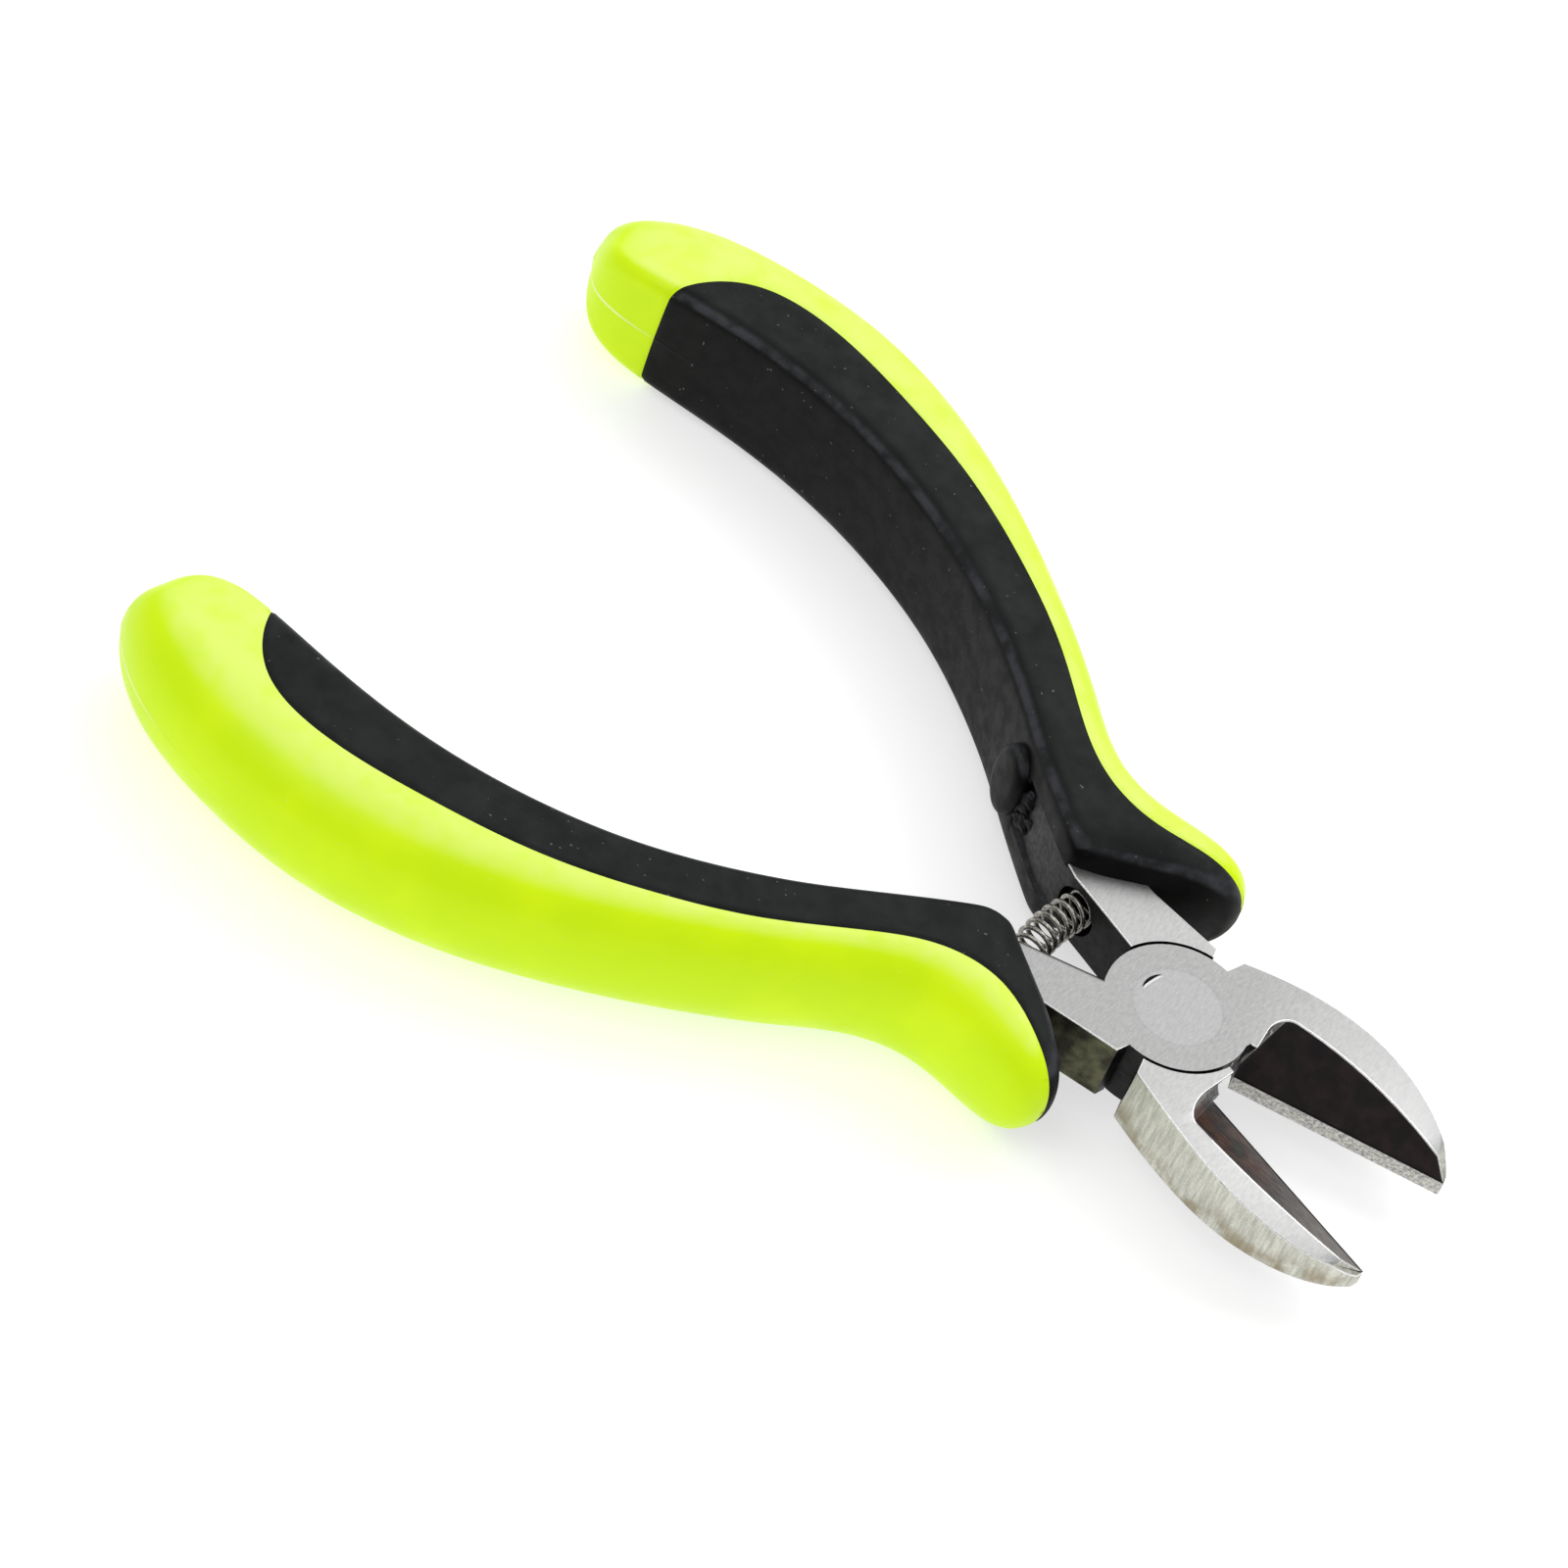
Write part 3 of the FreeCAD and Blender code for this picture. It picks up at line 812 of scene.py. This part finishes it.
def round_edges(bm, upper):
    """Wear the sharp edges; those round the lap and the rivet stay crisp."""
    worn = []
    for edge in bm.edges:
        if not edge.is_manifold or edge.calc_face_angle(0.0) < SHARP:
            continue
        reach = [math.hypot(v.co.x, v.co.y) / MM for v in edge.verts]
        if max(reach) < RIVET_ZONE or (LAP_ZONE[0] < min(reach) and max(reach) < LAP_ZONE[1]):
            edge.smooth = False
        else:
            worn.append(edge)
    made = bmesh.ops.bevel(bm, geom=worn, offset=EDGE_WIDTH * MM, offset_type="OFFSET", segments=2,
                           profile=0.5, affect="EDGES", clamp_overlap=False, material=-1)
    bm.normal_update()
    # Painted highlight: the worn faces that slant upward near the top get the near-white edge material; the
    # bevel itself is real wear.
    for face in made["faces"]:
        x, _, z = to_closed([face.calc_center_median()], upper)[0]
        high = z > MID + TOP_DROP - TOP_FALL * max(x - TOP_FALL_START, 0)
        slanted = 0.15 < face.normal.z < 0.98
        if high and slanted and x > BARE_TANG:
            face.material_index = EDGE


def close_round_rivet(bm):
    """Ground flush, the rivet's end shows no gap, so the hole's rim meets it."""
    rim = RIVET_R * MM
    for vert in bm.verts:
        radius = math.hypot(vert.co.x, vert.co.y)
        if rim < radius < rim + RIVET_GAP * MM:
            vert.co.xy *= (rim + WELD * MM) / radius


def steel_half(side, materials):
    """A half's CAD shape with worn edges and a finish for each face."""
    name = side + "_jaw_half"
    upper = side == "upper"
    bm = bmesh.new()
    bm.from_mesh(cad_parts[name].data)
    bmesh.ops.remove_doubles(bm, verts=bm.verts, dist=WELD * MM)
    bmesh.ops.dissolve_limit(bm, angle_limit=FLAT, verts=bm.verts, edges=bm.edges)
    bm.normal_update()
    for face in bm.faces:
        centre = to_closed([face.calc_center_median()], upper)[0]
        normal = to_closed([face.normal * MM], upper)[0]
        face.material_index = classify(centre, normal)
        face.smooth = True
    round_edges(bm, upper)
    close_round_rivet(bm)
    mesh = bpy.data.meshes.new(name + "_steel")
    bm.to_mesh(mesh)
    bm.free()
    piece = new_piece(name + "_steel", mesh, side + "_half", materials)
    weighted = piece.modifiers.new("normals", "WEIGHTED_NORMAL")
    weighted.keep_sharp = True
    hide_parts(name)


# ---------------------------------------------------------------- spring

def spring_axis(count):
    """Centre line of the spring, its directions and its length in millimetres: straight
    in each seat, bent between their mouths."""
    mouth = to_rest([(*SEAT_MOUTH, MID)], True)[0] / MM
    radius = -mouth[1] / math.sin(REST_ANGLE)
    bend_length = 2 * radius * REST_ANGLE
    total = bend_length + 2 * SEAT_REACH
    points, tangents = [], []
    for s in np.linspace(-total / 2, total / 2, count):
        angle = np.clip(s / radius, -REST_ANGLE, REST_ANGLE)
        past = s - angle * radius
        tangent = np.array([math.sin(angle), math.cos(angle), 0])
        centre_x = mouth[0] + radius * math.cos(REST_ANGLE)
        on_arc = np.array([centre_x - radius * math.cos(angle), radius * math.sin(angle), MID])
        points.append(on_arc + tangent * past)
        tangents.append(tangent)
    return np.array(points), np.array(tangents), total


def make_spring(material):
    """Coil of round wire wound round the centre line, with closed ends."""
    _, _, total = spring_axis(2)
    turns = total / COIL_PITCH
    count = int(turns * TURN_STEPS)
    axis, tangents, _ = spring_axis(count)
    up = np.array([0, 0, 1.0])
    mesh = bpy.data.meshes.new("return_spring_coil")
    bm = bmesh.new()
    rows = []
    for i in range(count):
        turn = 2 * math.pi * turns * i / (count - 1)
        sideways = np.cross(tangents[i], up)
        out = sideways * math.cos(turn) + up * math.sin(turn)
        centre = axis[i] + COIL_R * out
        row = []
        for k in range(WIRE_SIDES):
            a = 2 * math.pi * k / WIRE_SIDES
            offset = out * math.cos(a) + tangents[i] * math.sin(a)
            row.append(bm.verts.new((centre + WIRE_R * offset) * MM))
        rows.append(row)
    for a, b in zip(rows, rows[1:]):
        for k in range(WIRE_SIDES):
            n = (k + 1) % WIRE_SIDES
            bm.faces.new((a[k], b[k], b[n], a[n]))
    bm.faces.new(rows[0])
    bm.faces.new(rows[-1][::-1])
    bmesh.ops.recalc_face_normals(bm, faces=bm.faces)
    for face in bm.faces:
        face.smooth = True
    bm.to_mesh(mesh)
    bm.free()
    piece = bpy.data.objects.new("return_spring_coil", mesh)
    bpy.context.scene.collection.objects.link(piece)
    mesh.materials.append(material)
    mouth_low = to_rest([(*SEAT_MOUTH, MID)], False)[0]
    mouth_high = to_rest([(*SEAT_MOUTH, MID)], True)[0]
    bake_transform(piece, "lower_half", "upper_half", start=mouth_low, end=mouth_high)
    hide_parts("return_spring")


# ---------------------------------------------------------------- stage

def from_direction(azimuth, elevation):
    """Unit vector toward a viewer or a light, from its azimuth and elevation in degrees."""
    a, e = math.radians(azimuth), math.radians(elevation)
    return Vector((math.sin(a) * math.cos(e), -math.cos(a) * math.cos(e), math.sin(e)))


def make_camera():
    """Camera at the object's usual three-quarter view from above."""
    a, r = math.radians(CAMERA_AZIMUTH), math.radians(CAMERA_ROLL)
    back = from_direction(CAMERA_AZIMUTH, CAMERA_ELEVATION)
    right = Vector((math.cos(a), math.sin(a), 0))
    up = back.cross(right)
    turned_right = right * math.cos(r) + up * math.sin(r)
    turned_up = up * math.cos(r) - right * math.sin(r)
    data = bpy.data.cameras.new("camera")
    data.lens = LENS
    data.clip_start = 0.01
    data.clip_end = 20
    camera = bpy.data.objects.new("camera", data)
    bpy.context.scene.collection.objects.link(camera)
    place = Matrix((turned_right, turned_up, back)).transposed().to_4x4()
    place.translation = (Vector(CAMERA_AIM) + back * CAMERA_DISTANCE) * MM
    camera.matrix_world = place
    bpy.context.scene.camera = camera


def add_light(name, power, size, azimuth, elevation):
    data = bpy.data.lights.new(name, "AREA")
    data.shape = "DISK"
    data.size = size
    data.energy = power
    light = bpy.data.objects.new(name, data)
    bpy.context.scene.collection.objects.link(light)
    direction = from_direction(azimuth, elevation)
    light.location = Vector(LIGHT_AIM) + direction * LIGHT_DISTANCE
    light.rotation_euler = direction.to_track_quat("Z", "Y").to_euler()


def make_stage():
    """Soft white studio light and a pale floor just under the object."""
    world = bpy.data.worlds.new("studio")
    bpy.context.scene.world = world
    world.use_nodes = True
    background = world.node_tree.nodes["Background"]
    background.inputs["Color"].default_value = (1, 1, 1, 1)
    background.inputs["Strength"].default_value = 0.6
    add_light("back_softbox", 1.4, 0.7, 199, 50)
    add_light("tip_softbox", 1.1, 0.4, 152, 45)
    add_light("key_softbox", 0.8, 0.5, -30, 55)
    bpy.ops.mesh.primitive_plane_add(size=2 * FLOOR_HALF)
    floor = bpy.context.object
    floor.name = "floor"
    floor.location = (0, 0, cad_box[0].z - FLOOR_CLEARANCE)
    s = Shader("floor_paper", Roughness=0.8, Emission_Color=(1, 1, 1, 1), Emission_Strength=0.55)
    s.set("Base Color", s.mix(s.noise(40.0, 2.0), (0.60, 0.60, 0.60, 1), (0.62, 0.62, 0.62, 1)))
    floor.data.materials.append(s.material)
    bpy.context.scene.view_settings.view_transform = "Standard"


# ---------------------------------------------------------------- assembly

make_grips(lime_plastic(), black_rubber())
laps = lap_materials()
finishes = other_steels()
for side in HALVES:
    steel_half(side, [laps[side]] + finishes)
make_spring(ground_steel("spring_wire", rgb(96, 94, 88), rgb(190, 187, 180), 0.2))
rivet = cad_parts["pivot_rivet"]
rivet.data.materials.clear()
rivet.data.materials.append(laps["upper"])
make_camera()
make_stage()
